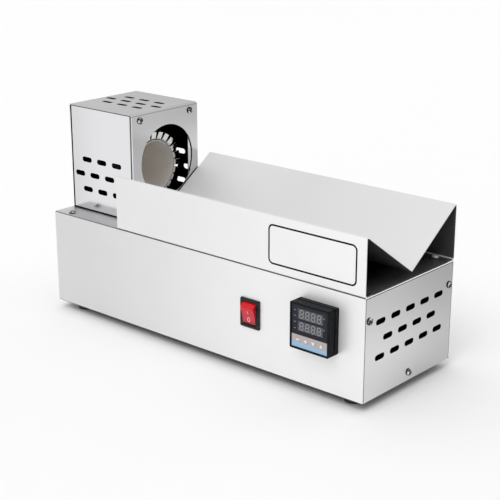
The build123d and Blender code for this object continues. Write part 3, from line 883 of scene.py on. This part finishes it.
def display_marks(shape):
    """Bars for the lamps at the left and small arrow heads at the right."""
    bar = [(-1.3, -0.35), (1.3, -0.35), (1.3, 0.35), (-1.3, 0.35)]
    for drop in (7.9, 13.7, 20.0, 26.6):
        add_plate(shape, [(a * MM, b * MM) for a, b in moved(bar, 6.0, -drop)], print_height)
    arrow = [(-1.26, -0.9), (-0.63, -0.9), (0, 0), (0.63, -0.9), (1.26, -0.9), (0, 0.9)]
    for drop, sense in ((8.6, 1), (20.6, -1)):
        turned = [(a, b * sense) for a, b in arrow]
        add_plate(shape, [(a * MM, b * MM) for a, b in moved(turned, 41.4, -drop)], print_height)


lens_plane = facing(Vector((case_low.x, lens_low.y, case_high.z)), RIGHT, UP)
for piece_name, build, finish in (
    ("display_windows", windows, window_grey),
    ("display_digits", display, digit_grey),
    ("display_marks", display_marks, mark_grey),
):
    add_piece(piece_name, mesh_of(piece_name, build), finish, matrix=lens_plane)


# Key symbols

def key_symbols(shape):
    """An arrow for enter and triangles for left, down and up."""
    pitch = 9.6 * MM
    size = 2.0 * MM
    symbols = (
        [(-1.1, -0.1), (-0.2, -0.8), (-0.2, -0.35), (1.1, -0.35), (1.1, 0.9), (0.65, 0.9),
         (0.65, 0.1), (-0.2, 0.1), (-0.2, 0.6)],
        [(-1.1, 0.0), (0.8, -1.0), (0.8, 1.0)],
        [(0.0, -1.1), (1.1, 0.8), (-1.1, 0.8)],
        [(-1.0, -0.8), (1.0, -0.8), (0.0, 1.1)],
    )
    for index, outline in enumerate(symbols):
        symbol = [(a * size, b * size) for a, b in outline]
        add_plate(shape, moved(symbol, (index - 1.5) * pitch, 0), print_height)


key_centre = Vector(((case_low.x + case_high.x) / 2, keypad_low.y, case_low.z + 10.184 * MM))
add_piece("key_symbols", mesh_of("key_symbols", key_symbols), icon_white,
          matrix=facing(key_centre, RIGHT, UP))


# Rocker marks on its hollow face, set out from the pivot
face_radius = 45.0 * MM
end_radius = 12.1 * MM
end_reach = 7.9 * MM
end_height = sqrt(end_radius ** 2 - end_reach ** 2)
face_centre = end_reach + sqrt(face_radius ** 2 - end_height ** 2)
rocker_tilt = radians(13)
pivot_depth = 5.0 * MM
pivot = Vector((
    (rocker_low.x + rocker_high.x) / 2,
    housing_low.y + pivot_depth,
    (housing_low.z + housing_high.z) / 2,
))
rocker_out = Vector((0, -cos(rocker_tilt), -sin(rocker_tilt)))
rocker_up = Vector((0, -sin(rocker_tilt), cos(rocker_tilt)))


def on_rocker(across, rise, lift):
    """Point on the rocker's hollow face, in the machine's frame."""
    reach = face_centre - sqrt(face_radius ** 2 - rise ** 2) + lift
    return pivot + RIGHT * across + rocker_up * rise + rocker_out * reach


def rocker_strip(shape, first_edge, second_edge):
    """Sections of a thin strip between two rows of (across, rise) points on the face."""
    sections = []
    for first, second in zip(first_edge, second_edge):
        corners = ((first, 0), (second, 0), (second, print_height), (first, print_height))
        sections.append([shape.verts.new(on_rocker(*point, lift)) for point, lift in corners])
    for near, far in zip(sections, sections[1:]):
        join_loops(shape, near, far)
    return sections


def rocker_marks(shape):
    """A stroke above and a ring below."""
    half = 0.27 * MM
    levels = [(2.1 + 3.0 * i / 6) * MM for i in range(7)]
    stroke = rocker_strip(shape, [(-half, y) for y in levels], [(half, y) for y in levels])
    close_loops(shape, stroke[-1], stroke[0])
    turns = [2 * pi * i / 32 for i in range(32)]
    centre = -4.7 * MM
    outer, inner = (
        [(width * MM * cos(t), centre + height * MM * sin(t)) for t in turns]
        for width, height in ((1.85, 2.45), (1.3, 1.9))
    )
    ring = rocker_strip(shape, outer, inner)
    join_loops(shape, ring[-1], ring[0])


add_piece("rocker_marks", mesh_of("rocker_marks", rocker_marks), rocker_white, body=ROCKER)


# Plain border line on the trough's front wall

def border(shape):
    """A thin frame with rounded corners."""
    line = 1.8 * MM
    width, height, radius = 108.7 * MM, 41.4 * MM, 6.0 * MM
    inner = rounded_outline(width - 2 * line, height - 2 * line, radius - line)
    add_plate(shape, rounded_outline(width, height, radius), print_height, inner)


border_centre = Vector((shell_low.x + 378.2 * MM, trough_low.y, shell_low.z + 137.4 * MM))
add_piece("front_border", mesh_of("front_border", border), border_ink,
          matrix=facing(border_centre, RIGHT, UP))


# Floor, light and camera

def grid(shape):
    """The floor's square."""
    bmesh.ops.create_grid(shape, x_segments=2, y_segments=2, size=14)


floor_material, floor_tree, floor_shader, floor_place = start_material("floor_white")
floor_tone = noise(floor_tree, floor_place, 0.6, detail=1)
floor_color = blend_colors(floor_tree, floor_tone, (0.945, 0.945, 0.945, 1), (0.96, 0.96, 0.96, 1))
link(floor_tree, floor_color, floor_shader, "Base Color")
floor_shader.inputs["Roughness"].default_value = 0.9
floor_shader.inputs["Specular IOR Level"].default_value = 0.0
floor_mesh = mesh_of("floor", grid)
floor = bpy.data.objects.new("floor", floor_mesh)
bpy.context.scene.collection.objects.link(floor)
floor_mesh.materials.append(floor_material)

world = bpy.data.worlds.new("studio")
bpy.context.scene.world = world
world.use_nodes = True
sky = world.node_tree
background = sky.nodes["Background"]
sky_place = sky.nodes.new("ShaderNodeTexCoord").outputs["Generated"]


def sky_spot(aim, start, stop, factor):
    """Factor for the level around a direction, 1 away from it."""
    toward = node(sky, "VectorMath", {0: sky_place, 1: aim}, operation="DOT_PRODUCT")
    return ramp_between(sky, toward.outputs["Value"], start, stop, 1.0, factor,
                        interpolation_type="SMOOTHSTEP")


# The sky falls off to the right and rises upward. Each spot has its direction, where it
# starts and is full, and its factor: a dark flag at the right, a strip light low at the back.
SKY_LEVEL = 0.71
SKY_FALL = -0.10
SKY_RISE = 0.10
SKY_SPOTS = (
    ((0.93, -0.10, 0.35), 0.80, 0.95, 0.45),
    ((0.24, 0.963, 0.12), 0.94, 0.985, 2.2),
)
direction = split(sky, sky_place)
level = calc(sky, "MULTIPLY_ADD", direction[X], SKY_FALL, SKY_LEVEL)
level = calc(sky, "MULTIPLY_ADD", calc(sky, "MAXIMUM", direction[Z], 0.0), SKY_RISE, level)
for spot in SKY_SPOTS:
    level = calc(sky, "MULTIPLY", level, sky_spot(*spot))
blue = calc(sky, "MULTIPLY", level, 1.005)
sky_color = node(sky, "CombineColor", {0: level, 1: level, 2: blue}).outputs[0]
sky.links.new(sky_color, background.inputs["Color"])
background.inputs["Strength"].default_value = 1.0

key_light = bpy.data.lights.new("key", "SUN")
key_light.energy = 1.15
key_light.angle = radians(40)
key = bpy.data.objects.new("key", key_light)
bpy.context.scene.collection.objects.link(key)
key.visible_glossy = False
key_from = Vector((0.12, -0.62, 0.78))
key.rotation_euler = key_from.to_track_quat("Z", "Y").to_euler()

camera_data = bpy.data.cameras.new("camera")
camera_data.sensor_width = 36.0
camera_data.lens = 89.2
camera_data.clip_end = 60
camera = bpy.data.objects.new("camera", camera_data)
bpy.context.scene.collection.objects.link(camera)
yaw, pitch = radians(41.33), radians(18.06)
view_direction = Vector((-sin(yaw) * cos(pitch), cos(yaw) * cos(pitch), -sin(pitch)))
camera.location = (0.8559, -0.95365, 0.5189)
camera.rotation_euler = view_direction.to_track_quat("-Z", "Y").to_euler()
bpy.context.scene.camera = camera
bpy.context.scene.view_settings.view_transform = "Standard"
